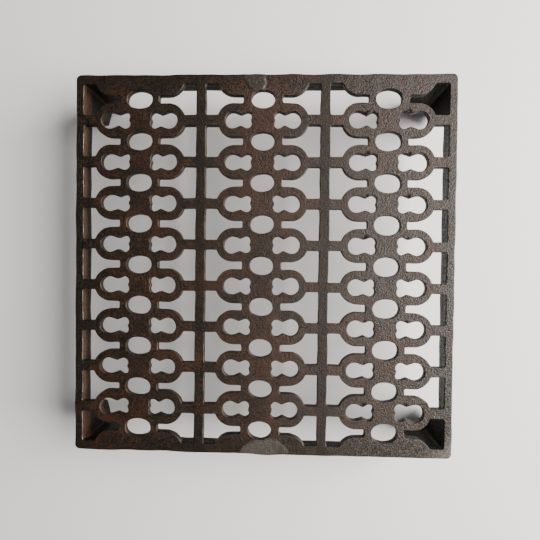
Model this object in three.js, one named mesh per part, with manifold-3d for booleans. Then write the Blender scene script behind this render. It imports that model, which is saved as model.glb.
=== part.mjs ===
import * as THREE from "three";
import { mergeVertices } from "three/addons/utils/BufferGeometryUtils.js";
import Module from "manifold-3d";

// A square cast iron air vent grille, in millimetres, lying on its four legs with its face up.
// +Z points out of the face, +X to its right and +Y up it. The origin is under the middle of the
// face, level with the ends of the legs.

// Body of the casting. The wall along its top edge is a little thicker than the other three.
const faceSize = 229;
const overallDepth = 44;
const plateThickness = 4;
const wallThickness = 3.6;
const topWallThickness = 4.6;
const rimDepth = 13.2;
const outerCornerRadius = 3;
const innerCornerRadius = 1.5;

// Angle legs that go on from the corners of the rim. Each flange narrows away from the rim, and its
// end is flat near the corner and then slopes up to the flange's far side.
const legWidthAtRim = 22;
const legWidthAtEnd = 18;
const legEndFlat = 6;
const legEndRise = 5.5;
const legEndRadius = 3;
const legRootRadius = 4;

// Layout of the pierced pattern: columns of paired rings, row above row. The bands are what is left
// of the face beside the outer columns, and above and below the rows.
const columnCount = 3;
const rowCount = 8;
const edgeColumnInset = 2.17;
const edgeRowInset = 2;
const sideBandWidth = 4.65;
const endBandWidth = 5.6;
const patternShiftX = -0.5;
const patternShiftY = -0.2;
const barWidth = 5.8;

// One ring pair, measured from the middle of its column and row. The neck is the gap that is left
// between a ring and the next one in its column.
const ringCentreX = 17.35;
const neckHeight = 4.55;
const connectorHeight = 6.1;
const neckEndX = 11.75;
const openingCornerRadius = 0.9;
const ovalWidth = 15.1;
const ovalHeight = 11.05;
const ovalFullness = 2.25;

// Keyhole in each ring: a large outer lobe, a waist with two points, and two small inner lobes
const outerLobeX = 18.2;
const outerLobeRadius = 5.1;
const waistX = 12.9;
const waistHalfHeight = 3.65;
const innerLobeX = 9.05;
const innerLobeY = 2.25;
const innerLobeRadius = 2.8;
const innerPointX = 6.9;
const innerLobeEndAngle = (205 * Math.PI) / 180;

// How far a cutting body runs past the metal that it cuts
const cutOverrun = 1;

// Number of straight sides that each round stretch is made of
const bodyCornerSides = 5;
const openingCornerSides = 1;
const ringArcSides = 3;
const ovalSides = 12;
const outerLobeSides = 6;
const innerLobeSides = 3;

const columnPitch = (faceSize - 2 * edgeColumnInset) / columnCount;
const rowPitch = (faceSize - 2 * edgeRowInset) / (rowCount + 1);
const ringRadius = (rowPitch - neckHeight) / 2;
const halfFace = faceSize / 2;
const wallInside = halfFace - wallThickness;
const topWallInside = halfFace - topWallThickness;
const plateBack = overallDepth - plateThickness;
const rimBack = overallDepth - rimDepth;

const wasm = await Module();
wasm.setup();

// Points on an arc from one angle to another, both ends included.
function arc(centreX, centreY, radius, from, to, sides) {
  const points = [];
  for (let i = 0; i <= sides; i += 1) {
    const angle = from + ((to - from) * i) / sides;
    points.push(new THREE.Vector2(centreX + radius * Math.cos(angle), centreY + radius * Math.sin(angle)));
  }
  return points;
}

// A corner that roundCorners turns into an arc of the given radius, or keeps when it has none.
function corner(x, y, radius = 0, sides = openingCornerSides) {
  return { point: new THREE.Vector2(x, y), radius, sides };
}

// The outline through a closed run of corners, with the round ones replaced by arcs.
function roundCorners(corners) {
  return corners.flatMap(({ point, radius, sides }, i) => {
    if (radius === 0) return [point];
    const before = corners[(i + corners.length - 1) % corners.length].point;
    const after = corners[(i + 1) % corners.length].point;
    const toBefore = before.clone().sub(point).normalize();
    const toAfter = after.clone().sub(point).normalize();
    const halfAngle = Math.acos(THREE.MathUtils.clamp(toBefore.dot(toAfter), -1, 1)) / 2;
    const middle = toBefore.clone().add(toAfter).normalize();
    const centre = point.clone().addScaledVector(middle, radius / Math.sin(halfAngle));
    const reach = radius / Math.tan(halfAngle);
    const start = point.clone().addScaledVector(toBefore, reach).sub(centre).angle();
    const end = point.clone().addScaledVector(toAfter, reach).sub(centre).angle();
    const turn = Math.atan2(Math.sin(end - start), Math.cos(end - start));
    return arc(centre.x, centre.y, radius, start, start + turn, sides);
  });
}

function rectangle(halfWidth, halfHeight, radius, sides) {
  return roundCorners([
    corner(halfWidth, -halfHeight, radius, sides),
    corner(halfWidth, halfHeight, radius, sides),
    corner(-halfWidth, halfHeight, radius, sides),
    corner(-halfWidth, -halfHeight, radius, sides),
  ]);
}

// A closed body as a solid that can be joined and cut.
function solidFrom(geometry) {
  geometry.deleteAttribute("normal");
  geometry.deleteAttribute("uv");
  const merged = mergeVertices(geometry);
  return new wasm.Manifold(
    new wasm.Mesh({
      numProp: 3,
      vertProperties: Float32Array.from(merged.attributes.position.array),
      triVerts: Uint32Array.from(merged.index.array),
    }),
  );
}

// Outlines carried straight along Z between two levels. They may not touch each other.
function prism(outlines, bottom, top) {
  const shapes = outlines.map((outline) => new THREE.Shape(outline));
  const geometry = new THREE.ExtrudeGeometry(shapes, { depth: top - bottom, bevelEnabled: false });
  return solidFrom(geometry.translate(0, 0, bottom));
}

// The space between the legs, seen along Y: under the rim, narrowing upwards, with round corners.
function legGapOutline() {
  const side = (sign) => [
    corner(sign * (halfFace - legEndFlat), -cutOverrun),
    corner(sign * (halfFace - legEndFlat), 0),
    corner(sign * (halfFace - legWidthAtEnd), legEndRise, legEndRadius, bodyCornerSides),
    corner(sign * (halfFace - legWidthAtRim), rimBack, legRootRadius, bodyCornerSides),
  ];
  return roundCorners([...side(1), ...side(-1).reverse()]);
}

// The same space as a body that runs right through the casting, along Y or, turned, along X.
function legGap(turn) {
  const length = faceSize + 2 * cutOverrun;
  const shape = new THREE.Shape(legGapOutline());
  const geometry = new THREE.ExtrudeGeometry(shape, { depth: length, bevelEnabled: false });
  return solidFrom(geometry.translate(0, 0, -length / 2).rotateX(Math.PI / 2).rotateZ(turn));
}

// The keyhole on the right of its column's middle, at row height zero.
function keyholeOutline() {
  const toWaist = new THREE.Vector2(waistX - outerLobeX, waistHalfHeight);
  const outerEnd = toWaist.angle() - Math.acos(outerLobeRadius / toWaist.length());
  const fromWaist = new THREE.Vector2(waistX - innerLobeX, waistHalfHeight - innerLobeY);
  const innerStart = fromWaist.angle() + Math.acos(innerLobeRadius / fromWaist.length());
  const innerLobe = arc(
    innerLobeX, innerLobeY, innerLobeRadius, innerStart, innerLobeEndAngle, innerLobeSides,
  );
  const upper = [new THREE.Vector2(waistX, waistHalfHeight), ...innerLobe];
  const lower = upper.map((p) => new THREE.Vector2(p.x, -p.y)).reverse();
  return [
    ...arc(outerLobeX, 0, outerLobeRadius, -outerEnd, outerEnd, outerLobeSides),
    ...upper,
    new THREE.Vector2(innerPointX, 0),
    ...lower,
  ];
}

function ovalOutline() {
  const points = [];
  for (let i = 0; i < ovalSides; i += 1) {
    const angle = (2 * Math.PI * i) / ovalSides;
    const c = Math.cos(angle);
    const s = Math.sin(angle);
    points.push(
      new THREE.Vector2(
        (ovalWidth / 2) * Math.sign(c) * Math.abs(c) ** (2 / ovalFullness),
        (ovalHeight / 2) * Math.sign(s) * Math.abs(s) ** (2 / ovalFullness),
      ),
    );
  }
  return points;
}

// The opening between two rings of one column, on its right. It is narrow between the rings and
// widens towards the bar. Its lower and upper ends stop short of the ring middles by what is left
// for the connector or for the band along the edge of the face.
function sideOpeningOutline(farX, lowerKeep, upperKeep) {
  const half = rowPitch / 2;
  const end = (keep, sign) => {
    const limit = Math.asin(keep / ringRadius);
    const ring = arc(ringCentreX, half, ringRadius, -Math.PI / 2, -limit, ringArcSides);
    return [
      corner(neckEndX, half - ringRadius, openingCornerRadius),
      ...ring.map((p) => corner(p.x, p.y)),
      corner(farX, half - keep, openingCornerRadius),
    ].map((c) => ({ ...c, point: new THREE.Vector2(c.point.x, sign * c.point.y) }));
  };
  return roundCorners([...end(lowerKeep, -1), ...end(upperKeep, 1).reverse()]);
}

function place(outline, x, y, mirrored) {
  const moved = outline.map((p) => new THREE.Vector2(x + (mirrored ? -p.x : p.x), y + p.y));
  return mirrored ? moved.reverse() : moved;
}

// Every opening in the face, column by column.
function facePattern() {
  const outlines = [];
  const edgeKeep = ((rowCount + 1) / 2) * rowPitch - (halfFace - endBandWidth);
  const sideLimit = halfFace - sideBandWidth;
  for (let column = 0; column < columnCount; column += 1) {
    const x = patternShiftX + (column - (columnCount - 1) / 2) * columnPitch;
    for (let row = 0; row < rowCount; row += 1) {
      const y = patternShiftY + (row - (rowCount - 1) / 2) * rowPitch;
      outlines.push(place(keyholeOutline(), x, y, false), place(keyholeOutline(), x, y, true));
    }
    for (let gap = 0; gap <= rowCount; gap += 1) {
      const y = patternShiftY + (gap - rowCount / 2) * rowPitch;
      const lowerKeep = gap === 0 ? edgeKeep - patternShiftY : connectorHeight / 2;
      const upperKeep = gap === rowCount ? edgeKeep + patternShiftY : connectorHeight / 2;
      const rightX = column === columnCount - 1 ? sideLimit - x : (columnPitch - barWidth) / 2;
      const leftX = column === 0 ? sideLimit + x : (columnPitch - barWidth) / 2;
      outlines.push(place(ovalOutline(), x, y, false));
      outlines.push(place(sideOpeningOutline(rightX, lowerKeep, upperKeep), x, y, false));
      outlines.push(place(sideOpeningOutline(leftX, lowerKeep, upperKeep), x, y, true));
    }
  }
  return outlines;
}

function grilleSolid() {
  const block = prism([rectangle(halfFace, halfFace, outerCornerRadius, bodyCornerSides)], 0, overallDepth);
  const hollowHeight = wallInside + topWallInside;
  const hollowOutline = rectangle(wallInside, hollowHeight / 2, innerCornerRadius, bodyCornerSides);
  const hollowMiddle = (topWallInside - wallInside) / 2;
  const hollow = prism([place(hollowOutline, 0, hollowMiddle, false)], -cutOverrun, plateBack);
  const pattern = prism(facePattern(), plateBack - cutOverrun, overallDepth + cutOverrun);
  return block.subtract(hollow).subtract(legGap(0)).subtract(legGap(Math.PI / 2)).subtract(pattern);
}

function geometryFrom(solid) {
  const mesh = solid.getMesh();
  const geometry = new THREE.BufferGeometry();
  geometry.setAttribute("position", new THREE.BufferAttribute(mesh.vertProperties, 3));
  geometry.setIndex(new THREE.BufferAttribute(mesh.triVerts, 1));
  geometry.computeVertexNormals();
  return geometry;
}

const castIron = new THREE.MeshStandardMaterial({
  color: 0x352820,
  roughness: 0.6,
  metalness: 0.35,
  flatShading: true,
});

const grille = new THREE.Mesh(geometryFrom(grilleSolid()), castIron);
grille.name = "grille";

const ventGrille = new THREE.Group();
ventGrille.add(grille);

export default ventGrille;
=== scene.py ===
import math

import bmesh
import bpy
from mathutils import Euler, Matrix, Vector, noise


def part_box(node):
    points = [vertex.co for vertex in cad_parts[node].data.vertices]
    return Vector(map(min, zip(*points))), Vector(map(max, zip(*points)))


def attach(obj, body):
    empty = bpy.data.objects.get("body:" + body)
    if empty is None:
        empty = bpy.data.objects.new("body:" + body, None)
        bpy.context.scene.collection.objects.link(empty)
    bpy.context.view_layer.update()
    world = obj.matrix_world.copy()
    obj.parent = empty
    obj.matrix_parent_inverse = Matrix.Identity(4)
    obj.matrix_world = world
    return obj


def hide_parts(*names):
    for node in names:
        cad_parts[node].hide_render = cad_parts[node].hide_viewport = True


bl_info = {
    "name": "Cast Iron Vent Grille",
    "version": (1, 0, 0),
    "blender": (4, 5, 0),
    "location": "View3D > Sidebar > Vent Grille",
    "description": "A square pierced vent grille in old cast iron, standing on its four legs",
    "category": "Add Mesh",
}

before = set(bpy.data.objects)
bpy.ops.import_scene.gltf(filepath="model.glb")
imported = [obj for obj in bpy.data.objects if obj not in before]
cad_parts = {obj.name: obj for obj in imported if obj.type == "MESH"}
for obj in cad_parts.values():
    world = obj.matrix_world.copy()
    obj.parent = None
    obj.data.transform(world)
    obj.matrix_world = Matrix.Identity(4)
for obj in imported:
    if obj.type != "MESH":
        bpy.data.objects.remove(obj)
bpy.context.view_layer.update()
low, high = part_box("grille")

MM = 0.001
TINY = 0.01 * MM
OVERRUN = 1 * MM

# Without a seed, the unevenness of the skin would differ on every run
UNEVEN_SEED = 3

# Spacing of the cuts across the rim and the legs, and up them
CUT_ACROSS = 3.5 * MM
CUT_UP = 4.5 * MM

# Longest edges on the face, over its scars, along its dips, and on the back of the plate
FACE_EDGE = 2.2 * MM
SCAR_EDGE = 0.9 * MM
DIP_EDGE = 1.3 * MM
BACK_EDGE = 3 * MM

# Marks the flat faces that are still to be divided
PLAIN = 0
FACE_FLAT = 1
BACK_FLAT = 2


def length(name, description, default):
    return bpy.props.FloatProperty(
        name=name, description=description, default=default, min=0, precision=5, unit="LENGTH"
    )


def colour(name, description, default):
    return bpy.props.FloatVectorProperty(
        name=name, description=description, default=default, size=3, min=0, max=1, subtype="COLOR"
    )


class CastingSizes(bpy.types.PropertyGroup):
    face_size: length("Face size", "Width and height of the square face", high.x - low.x)
    depth: length("Depth", "From the ends of the legs to the face", high.z - low.z)
    plate_thickness: length("Plate thickness", "Thickness of the pierced plate", 4 * MM)
    wall_thickness: length("Wall thickness", "Thickness of the rim and the legs", 3.6 * MM)
    top_wall: length("Top wall thickness", "Thickness of the wall along the top edge", 4.6 * MM)
    rim_depth: length("Rim depth", "Depth of the rim between the legs", 13.2 * MM)
    corner_radius: length("Corner radius", "Outside radius of the upright corners", 3 * MM)
    inner_radius: length("Inner radius", "Inside radius of the upright corners", 1.5 * MM)
    face_rounding: length("Face rounding", "Radius of the worn edges of the face", 0.35 * MM)
    back_rounding: length("Back rounding", "Radius of the edges behind the openings", 0.25 * MM)
    leg_rounding: length("Leg rounding", "Radius of the edges of the rim and the legs", 0.6 * MM)
    leg_width_at_rim: length("Leg width at rim", "Width of a leg's flange at the rim", 22 * MM)
    leg_width_at_end: length("Leg width at end", "Width of a leg's flange near its end", 18 * MM)
    leg_end_flat: length("Leg end flat", "Flat stretch at the end of a flange", 6 * MM)
    leg_end_rise: length("Leg end rise", "Height of the slope at the end of a flange", 5.5 * MM)
    leg_knee_reach: length("Leg knee reach", "How far the knee of a leg is rounded", 1.6 * MM)
    leg_root_reach: length("Leg root reach", "How far the root of a leg is rounded", 3.4 * MM)


class PatternSizes(bpy.types.PropertyGroup):
    columns: bpy.props.IntProperty(
        name="Columns", description="Columns of paired rings", default=3, min=1
    )
    rows: bpy.props.IntProperty(
        name="Rows", description="Rings above each other in a column", default=8, min=1
    )
    side_inset: length("Side inset", "From the sides to the outer columns", 2.17 * MM)
    end_inset: length("End inset", "From the top and bottom to the outer rows", 2 * MM)
    side_band: length("Side band", "Solid band beside the outer columns", 4.65 * MM)
    end_band: length("End band", "Solid band above and below the rows", 5.6 * MM)
    shift: bpy.props.FloatVectorProperty(
        name="Shift",
        description="How far the pattern sits off the middle of the face",
        default=(-0.5 * MM, -0.2 * MM),
        size=2,
        unit="LENGTH",
    )
    bar_width: length("Bar width", "Width of the upright bars between columns", 5.8 * MM)
    ring_centre: length("Ring centre", "From the middle of a column to a ring", 17.35 * MM)
    neck_height: length("Neck height", "Gap between a ring and the next one", 4.55 * MM)
    neck_end: length("Neck end", "From the middle of a column to the neck", 11.75 * MM)
    connector: length("Connector height", "Height of the bar beside each ring", 6.1 * MM)
    corner_radius: length("Opening corners", "Radius in the corners of the openings", 0.9 * MM)


class FinishColours(bpy.types.PropertyGroup):
    iron: colour("Iron", "Dark brown-black skin of the casting", (0.0044, 0.0038, 0.0026))
    rust: colour("Rust", "Reddish brown grains", (0.0310, 0.0108, 0.0042))
    bloom: colour("Bloom", "Pale brown grains in the skin", (0.058, 0.033, 0.019))
    # Painted light: grey that pales the skin and its grains towards the lit right side, and the
    # inside of the rim near the table
    painted_light_grey: colour("Frost", "Pale grey grains, mostly on the right", (0.084, 0.068, 0.056))
    # Painted reflection: the grey-green stands for the pale table reflected inside the rim
    shade: colour("Shade", "Grey-green skin on the inside of the rim", (0.0075, 0.0090, 0.0080))
    # Painted shade: dark colour on the opening walls and edges that face away from the light, in
    # the dips, and inside the rim near the face
    hollow: colour("Hollow", "Dark skin on the walls of the openings", (0.0035, 0.0030, 0.0026))
    # Rust with painted light: it goes only where the inside of the left rim and legs faces the
    # light
    rust_and_painted_light: colour("Sheltered rust", "Rust on the inside of the rim", (0.046, 0.0215, 0.0125))
    # Wear and painted highlight: bright metal on the edges that face the light, in the lower right
    # corner and along the crest of the scab
    wear_and_highlight: colour("Worn edge", "Metal that shows along worn edges", (0.26, 0.235, 0.21))
    pit: colour("Pit", "Dark bottoms of the pits", (0.002, 0.0015, 0.001))
    scar: colour("Scar", "Bare grey metal where the casting was broken off", (0.060, 0.054, 0.046))
    floor: colour("Floor", "Pale table top", (0.88, 0.875, 0.865))


def bevel(bm, geom, offset, segments, affect="EDGES"):
    bmesh.ops.bevel(
        bm,
        geom=geom,
        offset=offset,
        offset_type="OFFSET",
        segments=segments,
        profile=0.5,
        affect=affect,
        clamp_overlap=False,
        material=-1,
    )


def object_from(bm, name):
    """A new object at the origin that holds the bmesh, which is used up."""
    mesh = bpy.data.meshes.new(name)
    bm.to_mesh(mesh)
    bm.free()
    made = bpy.data.objects.new(name, mesh)
    bpy.context.scene.collection.objects.link(made)
    return made


def rounded_block(half, bottom, top, corner_radius, corner_steps, top_radius, top_steps):
    """A square block with round upright corners and a round top edge."""
    bm = bmesh.new()
    bmesh.ops.create_cube(bm, size=1)
    bmesh.ops.scale(bm, vec=(2 * half, 2 * half, top - bottom), verts=bm.verts)
    bmesh.ops.translate(bm, vec=(0, 0, (bottom + top) / 2), verts=bm.verts)
    upright = [e for e in bm.edges if abs(e.verts[0].co.z - e.verts[1].co.z) > TINY]
    bevel(bm, upright, corner_radius, corner_steps)
    rim = [e for e in bm.edges if all(v.co.z > top - TINY for v in e.verts)]
    bevel(bm, rim, top_radius, top_steps)
    return bm


def leg_gap(sizes, turn):
    """The space between the legs, as a body that runs right through the casting."""
    half = sizes.face_size / 2
    rim_back = sizes.depth - sizes.rim_depth
    side = [
        (half - sizes.leg_end_flat, -OVERRUN),
        (half - sizes.leg_end_flat, 0),
        (half - sizes.leg_width_at_end, sizes.leg_end_rise),
        (half - sizes.leg_width_at_rim, rim_back),
    ]
    outline = side + [(-x, z) for x, z in reversed(side)]
    bm = bmesh.new()
    start = -half - OVERRUN
    corners = [bm.verts.new((x, start, z)) for x, z in outline]
    bm.faces.new(corners)
    knees = [corners[2], corners[5]]
    roots = [corners[3], corners[4]]
    bevel(bm, knees, sizes.leg_knee_reach, 5, "VERTICES")
    bevel(bm, roots, sizes.leg_root_reach, 6, "VERTICES")
    grown = bmesh.ops.extrude_face_region(bm, geom=bm.faces[:])["geom"]
    far_side = [g for g in grown if isinstance(g, bmesh.types.BMVert)]
    bmesh.ops.translate(bm, vec=(0, -2 * start, 0), verts=far_side)
    bmesh.ops.rotate(bm, matrix=Matrix.Rotation(turn, 3, "Z"), verts=bm.verts)
    bmesh.ops.recalc_face_normals(bm, faces=bm.faces)
    return bm


def carve(block, cutters):
    """The mesh of a block after the cutters are taken out of it. All the objects are used up."""
    for cutter in cutters:
        cut = block.modifiers.new("Cut", "BOOLEAN")
        cut.operation = "DIFFERENCE"
        cut.solver = "EXACT"
        cut.object = cutter
    bpy.context.view_layer.update()
    carved = block.evaluated_get(bpy.context.evaluated_depsgraph_get())
    mesh = bpy.data.meshes.new_from_object(carved)
    for used in (block, *cutters):
        bpy.data.objects.remove(used)
    return mesh


def cut_lines(bm, axis, start, end, step):
    """Cuts the faces along evenly spaced planes across one axis."""
    count = max(1, round((end - start) / step))
    normal = [0, 0, 0]
    normal[axis] = 1
    for i in range(1, count):
        place = [0, 0, 0]
        place[axis] = start + (end - start) * i / count
        bmesh.ops.bisect_plane(
            bm,
            geom=bm.verts[:] + bm.edges[:] + bm.faces[:],
            dist=TINY,
            plane_co=place,
            plane_no=normal,
        )


def shell(sizes):
    """Rim, legs and the edge of the face, open where the pierced plate goes."""
    half = sizes.face_size / 2
    inside = half - sizes.wall_thickness
    plate_back = sizes.depth - sizes.plate_thickness
    block = rounded_block(half, 0, sizes.depth, sizes.corner_radius, 6, sizes.face_rounding, 3)
    hollow = rounded_block(
        inside, -OVERRUN, plate_back, sizes.inner_radius, 4, sizes.back_rounding, 2
    )
    top_half = [v for v in hollow.verts if v.co.y > 0]
    bmesh.ops.translate(hollow, vec=(0, sizes.wall_thickness - sizes.top_wall, 0), verts=top_half)
    cutters = [
        object_from(hollow, "hollow"),
        object_from(leg_gap(sizes, 0), "leg_gap_along"),
        object_from(leg_gap(sizes, math.pi / 2), "leg_gap_across"),
    ]
    mesh = carve(object_from(block, "block"), cutters)
    bm = bmesh.new()
    bm.from_mesh(mesh)
    bpy.data.meshes.remove(mesh)
    bmesh.ops.remove_doubles(bm, verts=bm.verts, dist=TINY)
    bmesh.ops.dissolve_limit(
        bm, angle_limit=math.radians(1), verts=bm.verts, edges=bm.edges
    )
    level = [f for f in bm.faces if abs(f.normal.z) > 0.99]
    plate = [f for f in level if f.calc_center_median().z > plate_back - TINY]
    bmesh.ops.delete(bm, geom=plate, context="FACES_ONLY")
    below_rim = sizes.depth - sizes.rim_depth + TINY
    sharp = [
        e
        for e in bm.edges
        if len(e.link_faces) == 2
        and e.calc_face_angle() > math.radians(40)
        and all(v.co.z < below_rim for v in e.verts)
    ]
    bevel(bm, sharp, sizes.leg_rounding, 3)
    for axis in (0, 1):
        cut_lines(bm, axis, -half, half, CUT_ACROSS)
    cut_lines(bm, 2, 0, sizes.depth, CUT_UP)
    return bm


def belt(circles, grow):
    """Points of a closed outline, like a belt drawn round circles (x, y, radius) in turn.

    It passes outside those with a positive radius and inside those with a negative one. Grow
    moves the outline outwards, and the number of points doesn't depend on it.
    """
    count = len(circles)
    turns = []
    for i, (x, y, radius) in enumerate(circles):
        next_x, next_y, next_radius = circles[(i + 1) % count]
        way = Vector((next_x - x, next_y - y))
        tilt = math.acos(max(-1, min(1, (radius - next_radius) / way.length)))
        turns.append(math.atan2(way.y, way.x) - tilt)
    points = []
    for i, (x, y, radius) in enumerate(circles):
        centre = Vector((x, y))
        sweep = (turns[i] - turns[i - 1]) % math.tau
        if sweep > math.tau - 1e-6:
            sweep = 0
        if radius < 0 and sweep > 0:
            sweep -= math.tau
        steps = max(1, math.ceil(abs(sweep * radius) / (1.15 * MM)), math.ceil(abs(sweep) / 0.6))
        for k in range(steps + 1):
            angle = turns[i - 1] + sweep * k / steps
            out = Vector((math.cos(angle), math.sin(angle)))
            points.append(centre + out * (radius + grow))
        next_x, next_y, next_radius = circles[(i + 1) % count]
        out = Vector((math.cos(turns[i]), math.sin(turns[i])))
        leave = centre + out * radius
        arrive = Vector((next_x, next_y)) + out * next_radius
        run = (arrive - leave).length
        if run < 0.05 * MM:
            points.pop()
            continue
        steps = max(1, round(run / (2.2 * MM)))
        for k in range(1, steps):
            points.append(leave.lerp(arrive, k / steps) + out * grow)
    return points


def keyhole():
    """Circles round which the keyhole in the right ring of a pair runs."""
    upper = [(13.05, 4.8, -1.15), (9.05, 2.25, 2.8)]
    circles = [(18.2, 0, 5.1), *upper, (5.6, 0, -1.3)]
    circles += [(x, -y, radius) for x, y, radius in reversed(upper)]
    return [(x * MM, y * MM, radius * MM) for x, y, radius in circles]


def oval():
    """Circles round which the oval between the rows runs."""
    circles = [(2.5, 0, 5.0), (0, -5.69, 11.215), (-2.5, 0, 5.0), (0, 5.69, 11.215)]
    return [(x * MM, y * MM, radius * MM) for x, y, radius in circles]


def side_opening(pattern, row_pitch, far, lower_keep, upper_keep):
    """Circles round which the opening between two rings of a column runs, on its right."""
    ring_radius = (row_pitch - pattern.neck_height) / 2
    small = pattern.corner_radius
    neck = pattern.neck_height / 2 - small

    def end(keep, sign):
        height = row_pitch / 2 - keep - small
        reach = math.sqrt((ring_radius + small) ** 2 - (keep + small) ** 2)
        return [
            (far - small, sign * height, small),
            (pattern.ring_centre + reach, sign * height, small),
            (pattern.ring_centre, sign * row_pitch / 2, -ring_radius),
            (pattern.neck_end + small, sign * neck, small),
        ]

    return end(upper_keep, 1) + end(lower_keep, -1)[::-1]


def quarter(radius, steps):
    """Shares of a quarter round, from its flat end to its steep end: (sideways, down)."""
    angles = [math.pi / 2 * i / steps for i in range(steps + 1)]
    return [(radius * (1 - math.sin(a)), radius * (1 - math.cos(a))) for a in angles]


def opening_wall(sizes, circles, mirrored, place, stretch):
    """The wall of one opening as a mesh, with a round edge at the face and at the back."""
    top = sizes.depth
    bottom = sizes.depth - sizes.plate_thickness
    profile = [(sizes.face_rounding + 0.2 * MM, top)]
    profile += [(side, top - down) for side, down in quarter(sizes.face_rounding, 3)]
    profile += [(side, bottom + down) for side, down in reversed(quarter(sizes.back_rounding, 2))]
    bm = bmesh.new()
    rims = []
    for grow, height in profile:
        corners = [bm.verts.new((p.x, p.y, height)) for p in belt(circles, grow)]
        rims.append([bm.edges.new((a, b)) for a, b in zip(corners, corners[1:] + corners[:1])])
    for front, back in zip(rims, rims[1:]):
        bmesh.ops.bridge_loops(bm, edges=front + back)
    across = [v.co.x for v in bm.verts]
    middle = Matrix.Translation((-(min(across) + max(across)) / 2, 0, 0))
    bmesh.ops.scale(bm, vec=(*stretch, 1), space=middle, verts=bm.verts)
    if mirrored:
        bmesh.ops.scale(bm, vec=(-1, 1, 1), verts=bm.verts)
    bmesh.ops.translate(bm, vec=(*place, 0), verts=bm.verts)
    mesh = bpy.data.meshes.new("opening")
    bm.to_mesh(mesh)
    bm.free()
    return mesh


# How much wider and higher than the pattern the openings of each column came out: the keyholes on
# the left, the ovals and the keyholes on the right
COLUMN_STRETCH = [
    [(1.04, 1.0), (1.03, 1.0), (0.955, 1.0)],
    [(0.95, 1.0), (0.935, 1.0), (0.95, 1.02)],
    [(0.98, 1.0), (1.02, 1.06), (1.03, 1.06)],
]
EVEN = (1, 1)


def openings(sizes, pattern):
    """Every opening of the face: (circles, mirrored, place, stretch)."""
    half = sizes.face_size / 2
    column_pitch = (sizes.face_size - 2 * pattern.side_inset) / pattern.columns
    row_pitch = (sizes.face_size - 2 * pattern.end_inset) / (pattern.rows + 1)
    edge_keep = (pattern.rows + 1) / 2 * row_pitch - (half - pattern.end_band)
    shift_x, shift_y = pattern.shift
    found = []
    for column in range(pattern.columns):
        on_left, oval_stretch, on_right = COLUMN_STRETCH[column % len(COLUMN_STRETCH)]
        x = shift_x + (column - (pattern.columns - 1) / 2) * column_pitch
        for row in range(pattern.rows):
            y = shift_y + (row - (pattern.rows - 1) / 2) * row_pitch
            found.append((keyhole(), False, (x, y), on_right))
            found.append((keyhole(), True, (x, y), on_left))
        for gap in range(pattern.rows + 1):
            y = shift_y + (gap - pattern.rows / 2) * row_pitch
            lower_keep = upper_keep = pattern.connector / 2
            if gap == 0:
                lower_keep = edge_keep - shift_y
            if gap == pattern.rows:
                upper_keep = edge_keep + shift_y
            found.append((oval(), False, (x, y), oval_stretch))
            for mirrored in (False, True):
                outer = column == (0 if mirrored else pattern.columns - 1)
                far = (column_pitch - pattern.bar_width) / 2
                if outer:
                    far = half - pattern.side_band - (-x if mirrored else x)
                circles = side_opening(pattern, row_pitch, far, lower_keep, upper_keep)
                found.append((circles, mirrored, (x, y), EVEN))
    return found


def fill_level(bm, level, mark):
    """Fills the flat metal between the outlines that lie open at one level."""
    rims = [
        e
        for e in bm.edges
        if e.is_boundary and all(abs(v.co.z - level) < TINY for v in e.verts)
    ]
    made = bmesh.ops.triangle_fill(
        bm, use_beauty=True, use_dissolve=False, edges=rims, normal=(0, 0, 1)
    )
    for face in made["geom"]:
        if isinstance(face, bmesh.types.BMFace):
            face.material_index = mark


def even_out(bm, mark, limit):
    """Divides a flat zone until no edge inside it is longer than the limit at its middle."""

    def enclosed(element):
        faces = element.link_faces
        return len(faces) > 0 and all(f.material_index == mark for f in faces)

    def zone():
        faces = [f for f in bm.faces if f.material_index == mark]
        return faces, [e for e in bm.edges if enclosed(e)]

    for _ in range(6):
        faces, inner = zone()
        bmesh.ops.beautify_fill(bm, faces=faces, edges=inner)
        faces, inner = zone()
        too_long = [
            e for e in inner if e.calc_length() > limit((e.verts[0].co + e.verts[1].co) / 2)
        ]
        if not too_long:
            break
        bmesh.ops.subdivide_edges(bm, edges=too_long, cuts=1, use_grid_fill=True)
        faces, inner = zone()
        bmesh.ops.triangulate(bm, faces=faces)
    faces, inner = zone()
    loose = [v for v in bm.verts if enclosed(v)]
    for _ in range(3):
        bmesh.ops.smooth_vert(bm, verts=loose, factor=0.5, use_axis_x=True, use_axis_y=True)
    bmesh.ops.beautify_fill(bm, faces=faces, edges=inner)


def smooth_step(start, end, value):
    share = max(0, min(1, (value - start) / (end - start)))
    return share * share * (3 - 2 * share)


def noise_at(place, size, shift):
    """Seeded noise between about -1 and 1, with lumps of the given size."""
    return noise.noise(place / size + Vector((shift, -shift, 0.37 * shift)))


def in_dome(x, y, middle, half_width, half_height, lean):
    """0 in the middle of a dome that stands on the edge of the face, and 1 on its outline."""
    along = (x - middle[0] - lean * (y - middle[1])) / half_width
    up = (y - middle[1]) / half_height
    return math.sqrt(along * along + up * up)


# The outlines of the broken-off gate and of the scab: middle, half width, half height and lean
GATE = ((1.0 * MM, -116 * MM), 14.6 * MM, 11.2 * MM, 0.22)
SCAB = ((-7.0 * MM, 116 * MM), 6.8 * MM, 12.5 * MM, -0.30)
SCAB_CREST_END = 112 * MM


def gate_scar(place):
    """How far the broken-off gate stands up at a place, as a share of its height."""
    ragged = 0.07 * noise_at(place, 3 * MM, 5)
    edge = in_dome(place.x, place.y, *GATE)
    return smooth_step(1.05, 0.93, edge + ragged)


def scab(place):
    """The same for the rough scab at the middle of the top edge."""
    ragged = 0.16 * noise_at(place, 2.5 * MM, 9)
    edge = in_dome(place.x, place.y, *SCAB)
    return smooth_step(1.06, 0.9, edge + ragged)


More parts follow.
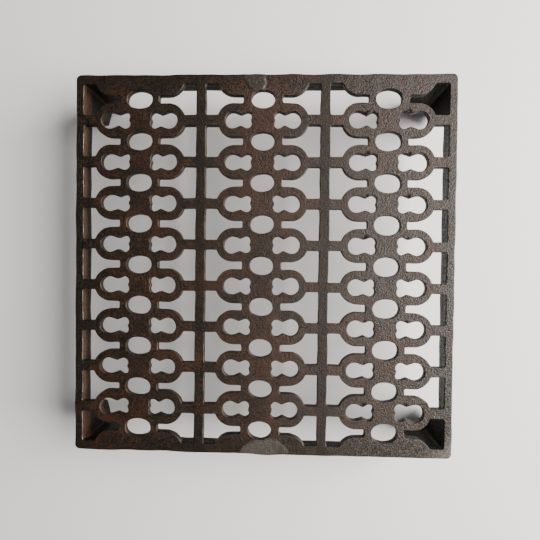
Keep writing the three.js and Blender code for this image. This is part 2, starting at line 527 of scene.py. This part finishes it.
# Small lumps on the face: place, radius and height in millimetres
LUMPS = [
    (-11.3, -106.3, 1.0, 0.5),
    (-17.5, -110.2, 2.6, 0.4),
    (100.9, -80.7, 3.0, 0.5),
    (62.0, 91.8, 1.3, 0.35),
    (86.0, 91.5, 1.5, 0.5),
    (-88.6, 67.1, 1.6, 0.35),
]


# Where the dips of the last column lie, from the left and from the right of its middle
DIP_LINES = (61.8 * MM, 86.6 * MM)


def face_limit(place):
    """Longest edge that the face may have at a place."""
    at_gate = abs(place.x - 1.6 * MM) < 16 * MM and place.y < -103 * MM
    at_scab = abs(place.x + 5 * MM) < 9 * MM and place.y > 101 * MM
    if at_gate or at_scab:
        return SCAR_EDGE
    if min(abs(place.x - line) for line in DIP_LINES) < 2.4 * MM:
        return DIP_EDGE
    return FACE_EDGE


def dips(sizes, pattern):
    """Small dips above the upper points of the keyholes in the last column, darkened with painted
    shade.
    """
    found = []
    last_column = sizes.face_size / 2 - sizes.face_size / pattern.columns
    for i, (circles, mirrored, (x, y), _) in enumerate(openings(sizes, pattern)):
        if x < last_column or circles != keyhole():
            continue
        chance = noise.cell(Vector((i, 7.5, 0.5)))
        reach = (-12.6 if mirrored else 12.2) * MM
        found.append((Vector((x + reach, y + 4.9 * MM)), (1.5 + chance) * MM, -0.35 * MM))
    return found


def mark_skin(bm, sizes, hollows):
    """Marks the edges with wear and painted highlight, the painted shade of the openings and dips,
    the scars, and rust with painted light on the left.
    """
    half = sizes.face_size / 2
    plate_back = sizes.depth - sizes.plate_thickness
    scab_middle, _, _, scab_lean = SCAB
    names = ("wear_and_highlight", "hollow", "scarred", "rust_and_painted_light")
    wear_and_highlight, hollow, scarred, rust_and_painted_light = [bm.verts.layers.float.new(name) for name in names]
    bm.normal_update()
    for v in bm.verts:
        place = v.co
        below_face = sizes.depth - place.z
        outermost = max(abs(place.x), abs(place.y)) > half - 1 * MM
        if TINY < below_face < sizes.face_rounding - TINY:
            # Painted highlight on the rounded face edges that face the light, strongest on the
            # left band, and painted shade on those that face away from it
            most = 1 if place.x < -half + 6 * MM else 0.55
            v[wear_and_highlight] = most * smooth_step(0.3, 0.75, v.normal.x)
            v[hollow] = 0.5 * smooth_step(0.3, 0.1, v.normal.x)
        # Painted shade on the opening walls where they face away from the light
        elif place.z > plate_back - TINY and abs(v.normal.z) < 0.9 and not outermost:
            v[hollow] = smooth_step(0.6, 0.1, v.normal.x)
        # Painted shade in the dips
        for centre, radius, _ in hollows:
            away = (place.xy - centre).length / radius
            if away < 1:
                v[hollow] = max(v[hollow], smooth_step(1, 0.4, away))
        if below_face < 1 * MM:
            share = scab(place)
            v[scarred] = max(gate_scar(place), 0.36 * share)
            # Painted glint along the crest of the scab
            crest = scab_middle[0] + scab_lean * (place.y - scab_middle[1])
            if place.x > crest and place.y < SCAB_CREST_END:
                v[wear_and_highlight] = max(v[wear_and_highlight], 2.6 * share * (1 - share))
        # Rust with painted light where the inside of the left rim and legs faces the light
        if place.x < -half + 6 * MM:
            v[rust_and_painted_light] = smooth_step(0.3, 0.8, v.normal.x)


def roughen(bm, sizes, blemishes):
    """Moves the true surfaces a little, as in an old sand casting, and adds its blemishes."""
    plate_back = sizes.depth - sizes.plate_thickness
    half = sizes.face_size / 2
    bm.normal_update()
    lumps = [(Vector((x * MM, y * MM)), r * MM, h * MM) for x, y, r, h in LUMPS] + blemishes
    moves = []
    noise.seed_set(UNEVEN_SEED)
    for v in bm.verts:
        place = v.co
        on_plate = Vector((place.x, place.y, min(place.z, plate_back)))
        move = 0.42 * MM * noise.noise_vector(on_plate / (13 * MM))
        move += 0.10 * MM * noise.noise_vector(on_plate / (3.1 * MM))
        lift = smooth_step(28 * MM, 38 * MM, place.z)
        move.z = lift * 0.3 * MM * noise_at(on_plate, 60 * MM, 3)
        if place.z > plate_back + TINY:
            move.z += 0.11 * MM * noise_at(on_plate, 5.5 * MM, 1)
            for centre, radius, height in lumps:
                away = (place.xy - centre).length / radius
                if away < 1:
                    swell = (1 - away * away) ** 2 * (1 + 0.5 * noise_at(place, 0.9 * MM, 2))
                    move += v.normal * height * swell
            rough = noise_at(place, 1.5 * MM, 4)
            if place.y < -half + 14 * MM:
                move.z += gate_scar(place) * (0.30 + 0.10 * rough) * MM
            if place.y > half - 16 * MM:
                move.z += scab(place) * (0.35 + 0.16 * rough) * MM
        if place.y < -half + 0.8 * MM and place.z > plate_back - 5 * MM:
            bulge = smooth_step(8 * MM, 3 * MM, abs(place.x - 3.4 * MM))
            move.y -= 0.45 * MM * bulge * smooth_step(plate_back - 5 * MM, plate_back, place.z)
        moves.append(move)
    for v, move in zip(bm.verts, moves):
        v.co += move
    bm.normal_update()


def burrs(sizes, pattern):
    """Small burrs on the points of some of the keyholes."""
    found = []
    for i, (circles, mirrored, (x, y), _) in enumerate(openings(sizes, pattern)):
        if circles != keyhole():
            continue
        for sign in (-1, 1):
            chance = noise.cell(Vector((i, sign, 0.5)))
            if chance < 0.45:
                continue
            reach = (-13.0 if mirrored else 13.0) * MM + (chance - 0.7) * 2 * MM
            found.append((Vector((x + reach, y + sign * 3.6 * MM)), 1.7 * MM, chance * 0.45 * MM))
    return found


def casting_mesh(sizes, pattern):
    """The whole casting as one closed skin."""
    bm = shell(sizes)
    for circles, mirrored, place, stretch in openings(sizes, pattern):
        wall = opening_wall(sizes, circles, mirrored, place, stretch)
        bm.from_mesh(wall)
        bpy.data.meshes.remove(wall)
    fill_level(bm, sizes.depth, FACE_FLAT)
    fill_level(bm, sizes.depth - sizes.plate_thickness, BACK_FLAT)
    even_out(bm, FACE_FLAT, face_limit)
    even_out(bm, BACK_FLAT, lambda place: BACK_EDGE)
    for face in bm.faces:
        face.material_index = PLAIN
        face.smooth = True
    bmesh.ops.recalc_face_normals(bm, faces=bm.faces)
    hollows = dips(sizes, pattern)
    mark_skin(bm, sizes, hollows)
    roughen(bm, sizes, burrs(sizes, pattern) + hollows)
    return bm


class Nodes:
    """Builds a node material step by step."""

    def __init__(self, name):
        self.material = bpy.data.materials.new(name)
        self.material.use_nodes = True
        self.tree = self.material.node_tree
        self.shader = self.tree.nodes["Principled BSDF"]
        coordinates = self.add("ShaderNodeTexCoord")
        self.place = coordinates.outputs["Object"]

    def add(self, kind, **settings):
        node = self.tree.nodes.new(kind)
        for key, value in settings.items():
            setattr(node, key, value)
        return node

    def feed(self, socket, value):
        if isinstance(value, bpy.types.NodeSocket):
            self.tree.links.new(value, socket)
        else:
            socket.default_value = value

    def noise(self, size, detail=2, roughness=0.5, warp=0):
        """Noise with lumps of the given size in metres."""
        node = self.add("ShaderNodeTexNoise")
        self.feed(node.inputs["Vector"], self.place)
        self.feed(node.inputs["Scale"], 1 / size)
        self.feed(node.inputs["Detail"], detail)
        self.feed(node.inputs["Roughness"], roughness)
        self.feed(node.inputs["Distortion"], warp)
        return node.outputs["Fac"]

    def mark(self, name):
        """A mark that the mesh carries."""
        return self.add("ShaderNodeAttribute", attribute_name=name).outputs["Fac"]

    def cells(self, size):
        node = self.add("ShaderNodeTexVoronoi")
        self.feed(node.inputs["Vector"], self.place)
        self.feed(node.inputs["Scale"], 1 / size)
        return node.outputs["Distance"]

    def span(self, value, start, end, low=0.0, high=1.0):
        """Turns a range of a value into another, held at both ends."""
        node = self.add("ShaderNodeMapRange", interpolation_type="SMOOTHSTEP")
        self.feed(node.inputs["Value"], value)
        self.feed(node.inputs["From Min"], start)
        self.feed(node.inputs["From Max"], end)
        self.feed(node.inputs["To Min"], low)
        self.feed(node.inputs["To Max"], high)
        return node.outputs["Result"]

    def math(self, operation, a, b=0.0):
        node = self.add("ShaderNodeMath", operation=operation)
        self.feed(node.inputs[0], a)
        self.feed(node.inputs[1], b)
        return node.outputs["Value"]

    def mix(self, share, a, b):
        node = self.add("ShaderNodeMix", data_type="RGBA")
        self.feed(node.inputs["Factor"], share)
        for name, value in (("A", a), ("B", b)):
            socket = [s for s in node.inputs if s.name == name and s.type == "RGBA"][0]
            self.feed(socket, value if isinstance(value, bpy.types.NodeSocket) else (*value, 1))
        return [s for s in node.outputs if s.type == "RGBA"][0]

    def axes(self, vector):
        node = self.add("ShaderNodeSeparateXYZ")
        self.feed(node.inputs[0], vector)
        return node.outputs


# From the middle of the pattern to the upright bars, which are darker than the rings
BAR_PLACE = 37.5 * MM


def cast_iron(sizes, colours):
    """Old brown-black iron: rusty and pale grains, pits, edges with wear and a dull sheen, with
    painted sheen, highlights, shade and reflection.
    """
    n = Nodes("old_cast_iron")
    half = sizes.face_size / 2
    plate_back = sizes.depth - sizes.plate_thickness
    x, y, z = n.axes(n.place)
    patches = n.noise(30 * MM, 3, 0.55, 0.5)
    blotches = n.noise(7 * MM, 3, 0.55)
    coarse = n.noise(2.6 * MM, 2, 0.5)
    fleck = n.noise(1.3 * MM, 1, 0.6)
    grain = n.noise(0.75 * MM, 1, 0.6)
    pits = n.cells(1.7 * MM)
    wide = n.math("MAXIMUM", n.math("ABSOLUTE", x), n.math("ABSOLUTE", y))
    off_middle = n.math("ABSOLUTE", n.math("ADD", x, 0.5 * MM))
    past_bar = n.math("SUBTRACT", off_middle, BAR_PLACE)
    on_bar = n.span(n.math("ABSOLUTE", past_bar), 4.5 * MM, 2.2 * MM)
    calm = n.span(n.math("ABSOLUTE", y), 102 * MM, 109 * MM)
    spread = n.math("MULTIPLY", calm, 0.13)

    rusty = n.math("ADD", n.math("MULTIPLY", patches, 0.4), n.math("MULTIPLY", blotches, 0.3))
    rusty = n.math("ADD", rusty, n.math("MULTIPLY", fleck, 0.7))
    rusty = n.math("ADD", rusty, n.span(wide, half - 14 * MM, half - 6 * MM, 0, -0.075))
    rusty = n.math("ADD", rusty, n.span(x, -110 * MM, 20 * MM, -0.03, 0))
    rusty = n.math("ADD", rusty, n.math("MULTIPLY", on_bar, -0.04))
    rusty = n.span(rusty, 0.63, 0.79)
    # Painted sheen: the bare skin turns grey towards the lit right side
    to_right = n.span(x, -20 * MM, 100 * MM)
    bare = n.mix(n.math("MULTIPLY", to_right, 0.14), tuple(colours.iron), tuple(colours.painted_light_grey))
    skin = n.mix(rusty, bare, tuple(colours.rust))
    from_grain = n.math("SUBTRACT", 0.48, spread)
    to_grain = n.math("ADD", 0.68, spread)
    pale = n.span(grain, from_grain, to_grain)
    # Painted sheen: more pale grains towards the right, and greyer there
    pale = n.math("MULTIPLY", pale, n.span(x, -half, half, 0.4, 0.85))
    pale = n.math("MULTIPLY", pale, n.span(on_bar, 0, 1, 1, 0.6))
    # Painted sheen: pale grains and bright metal in the lower right corner
    corner = n.span(n.math("SUBTRACT", x, y), 205 * MM, 226 * MM, 0, 0.9)
    pale = n.math("MAXIMUM", pale, n.math("MULTIPLY", corner, n.span(grain, 0.35, 0.6, 0.3, 1)))
    skin = n.mix(pale, skin, n.mix(to_right, tuple(colours.bloom), tuple(colours.painted_light_grey)))
    skin = n.mix(n.span(pits, 0.30, 0.12, 0, 0.5), skin, tuple(colours.pit))
    painted_corner_sheen = n.math("MULTIPLY", corner, n.span(fleck, 0.4, 0.6, 0.05, 0.35))
    skin = n.mix(painted_corner_sheen, skin, tuple(colours.wear_and_highlight))
    scarred = n.math("MULTIPLY", n.mark("scarred"), n.span(fleck, 0.35, 0.6, 0.55, 0.95))
    scarred = n.math("MULTIPLY", scarred, n.span(x, 7 * MM, 15 * MM, 1, 0.55))
    skin = n.mix(scarred, skin, tuple(colours.scar))

    # Inside the rim: a grey-green painted reflection of the table with rust blotches, painted
    # shade towards the face and painted light near the table
    inside = n.span(wide, half - 2.2 * MM, half - 2.8 * MM)
    below = n.span(z, plate_back - 0.2 * MM, plate_back - 1.2 * MM)
    enclosed = n.math("MULTIPLY", inside, below)
    grey = n.mix(n.span(blotches, 0.4, 0.65, 0, 0.4), tuple(colours.shade), tuple(colours.rust))
    grey = n.mix(n.span(z, plate_back - 8 * MM, plate_back, 0, 0.6), grey, tuple(colours.hollow))
    grey = n.mix(n.span(z, 22 * MM, 6 * MM, 0, 0.12), grey, tuple(colours.painted_light_grey))
    skin = n.mix(enclosed, skin, grey)
    # Painted shade on the marked opening walls, edges and dips
    skin = n.mix(n.math("MULTIPLY", n.mark("hollow"), 0.9), skin, tuple(colours.hollow))
    # Rust with painted light on the inside of the left rim and legs that faces the light, down to
    # where the light reaches, deeper at the corners
    at_corner = n.span(n.math("ABSOLUTE", y), 86 * MM, 92 * MM, 0, 4.5 * MM)
    left = n.span(n.math("ADD", z, at_corner), 35 * MM, 36.6 * MM)
    left = n.math("MULTIPLY", left, n.mark("rust_and_painted_light"))
    left = n.math("MULTIPLY", left, n.span(coarse, 0.3, 0.6, 0.5, 1))
    skin = n.mix(left, skin, tuple(colours.rust_and_painted_light))

    # Wear and painted highlight on the marked edges, which are also metallic and smoother
    wear_and_highlight = n.math("MULTIPLY", n.mark("wear_and_highlight"), n.span(blotches, 0.42, 0.58, 0.15, 1))
    skin = n.mix(wear_and_highlight, skin, tuple(colours.wear_and_highlight))
    n.feed(n.shader.inputs["Base Color"], skin)
    n.feed(n.shader.inputs["Metallic"], n.math("MULTIPLY", wear_and_highlight, 0.8))

    dull = n.math("ADD", n.span(grain, 0.36, 0.64, 0.32, 0.60), n.span(rusty, 0, 1, 0, 0.08))
    dull = n.math("ADD", dull, n.math("MULTIPLY", on_bar, 0.1))
    n.feed(n.shader.inputs["Roughness"], n.math("SUBTRACT", dull, n.math("MULTIPLY", wear_and_highlight, 0.1)))
    covered = n.math("MAXIMUM", enclosed, n.mark("hollow"))
    sheen = n.span(x, -110 * MM, 40 * MM, 0.21, 0.36)
    sheen = n.math("SUBTRACT", sheen, n.math("MULTIPLY", on_bar, 0.05))
    n.feed(n.shader.inputs["Specular IOR Level"], n.span(covered, 0, 1, sheen, 0.10))

    relief = n.math("ADD", n.math("MULTIPLY", grain, 1.5), n.math("MULTIPLY", coarse, 0.35))
    relief = n.math("ADD", relief, n.math("MULTIPLY", fleck, 0.5))
    relief = n.math("ADD", relief, n.span(pits, 0.0, 0.35, -0.3, 0))
    bump = n.add("ShaderNodeBump")
    n.feed(bump.inputs["Strength"], n.span(calm, 0, 1, 1, 0.55))
    n.feed(bump.inputs["Distance"], 0.32 * MM)
    n.feed(bump.inputs["Height"], relief)
    n.feed(n.shader.inputs["Normal"], bump.outputs["Normal"])
    return n.material


def table_top(colours):
    n = Nodes("pale_table")
    shade = n.mix(n.noise(0.4, 2), tuple(colours.floor), tuple(c * 0.97 for c in colours.floor))
    n.feed(n.shader.inputs["Base Color"], shade)
    n.feed(n.shader.inputs["Roughness"], 0.75)
    return n.material


class BuildCasting(bpy.types.Operator):
    """Builds the grille casting in place of the plain solid"""

    bl_idname = "vent_grille.casting"
    bl_label = "Build Casting"

    def execute(self, context):
        sizes = context.scene.grille_casting
        bm = casting_mesh(sizes, context.scene.grille_pattern)
        casting = object_from(bm, "grille_casting")
        casting.data.materials.append(cast_iron(sizes, context.scene.grille_colours))
        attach(casting, "root")
        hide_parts("grille")
        return {"FINISHED"}


def area_light(name, place, size, power, tint):
    light = bpy.data.lights.new(name, "AREA")
    light.shape = "RECTANGLE"
    light.size, light.size_y = size
    light.energy = power
    light.color = tint
    made = bpy.data.objects.new(name, light)
    made.location = place
    made.rotation_euler = Vector(place).to_track_quat("Z", "Y").to_euler()
    bpy.context.scene.collection.objects.link(made)


# Daylight from a window to the right, and the soft light of the room
WINDOW_PLACE = (0.77, 0.08, 0.60)
WINDOW_SIZE = (0.85, 0.85)
WINDOW_POWER = 36
WINDOW_TINT = (1.0, 0.972, 0.93)
ROOM_TINT = (0.82, 0.815, 0.82, 1)
ROOM_STRENGTH = 0.24

# The camera over the middle of the face, with its turns in degrees
SENSOR_WIDTH = 36
FOCAL_LENGTH = 27.07
CAMERA_PLACE = (0.0135, 0.00133, 0.2885)
CAMERA_TURN = (-0.9045, 2.0618, 0.6874)


class BuildStage(bpy.types.Operator):
    """Lays the table top, hangs the lights and sets up the camera"""

    bl_idname = "vent_grille.stage"
    bl_label = "Build Stage"

    def execute(self, context):
        bm = bmesh.new()
        bmesh.ops.create_grid(bm, x_segments=1, y_segments=1, size=4)
        floor = object_from(bm, "table_top")
        floor.data.materials.append(table_top(context.scene.grille_colours))

        area_light("window", WINDOW_PLACE, WINDOW_SIZE, WINDOW_POWER, WINDOW_TINT)
        world = bpy.data.worlds.new("room")
        world.use_nodes = True
        background = world.node_tree.nodes["Background"]
        background.inputs["Color"].default_value = ROOM_TINT
        background.inputs["Strength"].default_value = ROOM_STRENGTH
        context.scene.world = world

        lens = bpy.data.cameras.new("camera")
        lens.sensor_width = SENSOR_WIDTH
        lens.lens = FOCAL_LENGTH
        lens.clip_start = 0.01
        camera = bpy.data.objects.new("camera", lens)
        camera.location = CAMERA_PLACE
        camera.rotation_euler = Euler([math.radians(turn) for turn in CAMERA_TURN])
        context.scene.collection.objects.link(camera)
        context.scene.camera = camera
        return {"FINISHED"}


class GrillePanel(bpy.types.Panel):
    bl_idname = "VIEW3D_PT_vent_grille"
    bl_label = "Vent Grille"
    bl_space_type = "VIEW_3D"
    bl_region_type = "UI"
    bl_category = "Vent Grille"

    def draw(self, context):
        for group in SCENE_GROUPS:
            settings = getattr(context.scene, group)
            box = self.layout.box()
            for name in settings.__annotations__:
                box.prop(settings, name)
        for operator in (BuildCasting, BuildStage):
            self.layout.operator(operator.bl_idname)


SCENE_GROUPS = {
    "grille_casting": CastingSizes,
    "grille_pattern": PatternSizes,
    "grille_colours": FinishColours,
}
CLASSES = (*SCENE_GROUPS.values(), BuildCasting, BuildStage, GrillePanel)


def register():
    for cls in CLASSES:
        bpy.utils.register_class(cls)
    for name, group in SCENE_GROUPS.items():
        setattr(bpy.types.Scene, name, bpy.props.PointerProperty(type=group))


def unregister():
    for name in SCENE_GROUPS:
        delattr(bpy.types.Scene, name)
    for cls in reversed(CLASSES):
        bpy.utils.unregister_class(cls)


def main():
    register()
    bpy.ops.vent_grille.casting()
    bpy.ops.vent_grille.stage()


if __name__ == "__main__":
    main()
